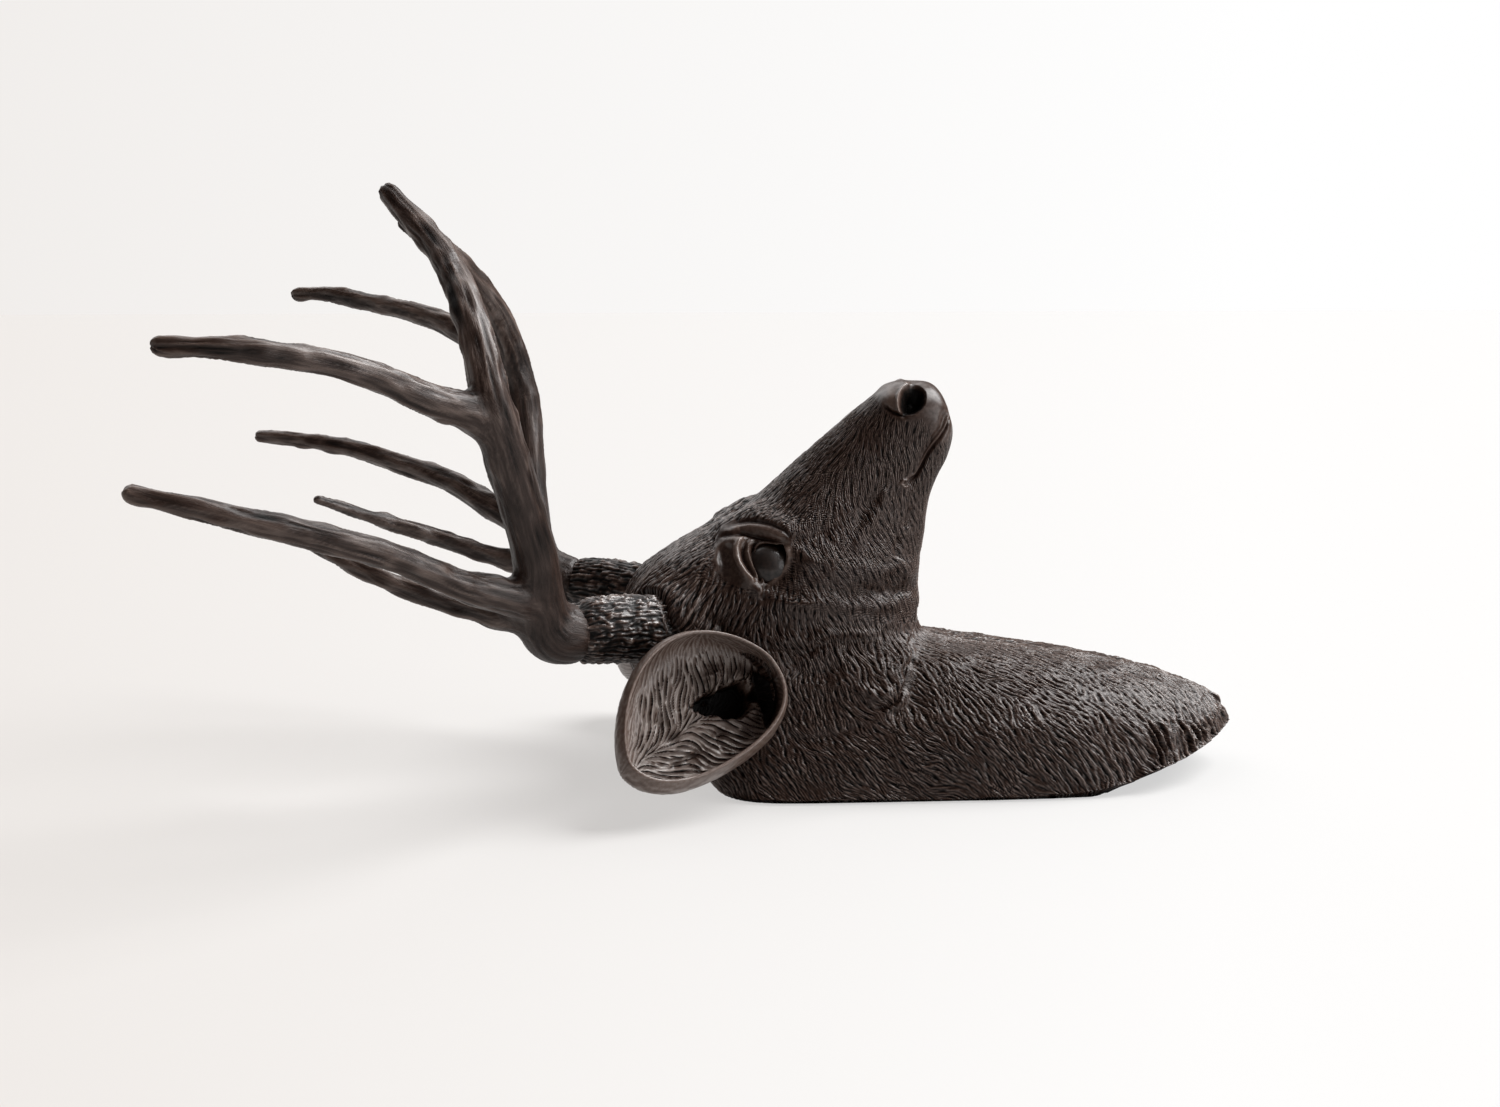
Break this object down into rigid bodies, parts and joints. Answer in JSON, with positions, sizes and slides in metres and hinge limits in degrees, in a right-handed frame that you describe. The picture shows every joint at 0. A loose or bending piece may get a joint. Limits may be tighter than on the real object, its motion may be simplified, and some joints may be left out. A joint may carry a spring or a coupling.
{
  "type": "faux deer head wall mount",
  "caption": "Cast buck head, neck and antlers with a flat back, a wall trophy that also lies on its back on a shelf.",
  "frame": {"origin": "on the flat back, midway between the crown end of the casting and the chest tip, in the head's middle plane", "axes": "+Z out from the wall, +X down the wall towards the chest, -X up the wall towards the antler tips, -Y to the deer's right"},
  "size_m": [0.5373, 0.3675, 0.3024],
  "materials": {
    "head_and_neck": "black cast resin with fur in relief, satin on the crests",
    "antler_right": "black cast resin, grooved along its length, glossier on the pearled base",
    "antler_left": "black cast resin, grooved along its length, glossier on the pearled base"
  },
  "bodies": {
    "root": {"head_and_neck": "head_and_neck", "antler_right": "antler_right", "antler_left": "antler_left"}
  },
  "joints": []
}
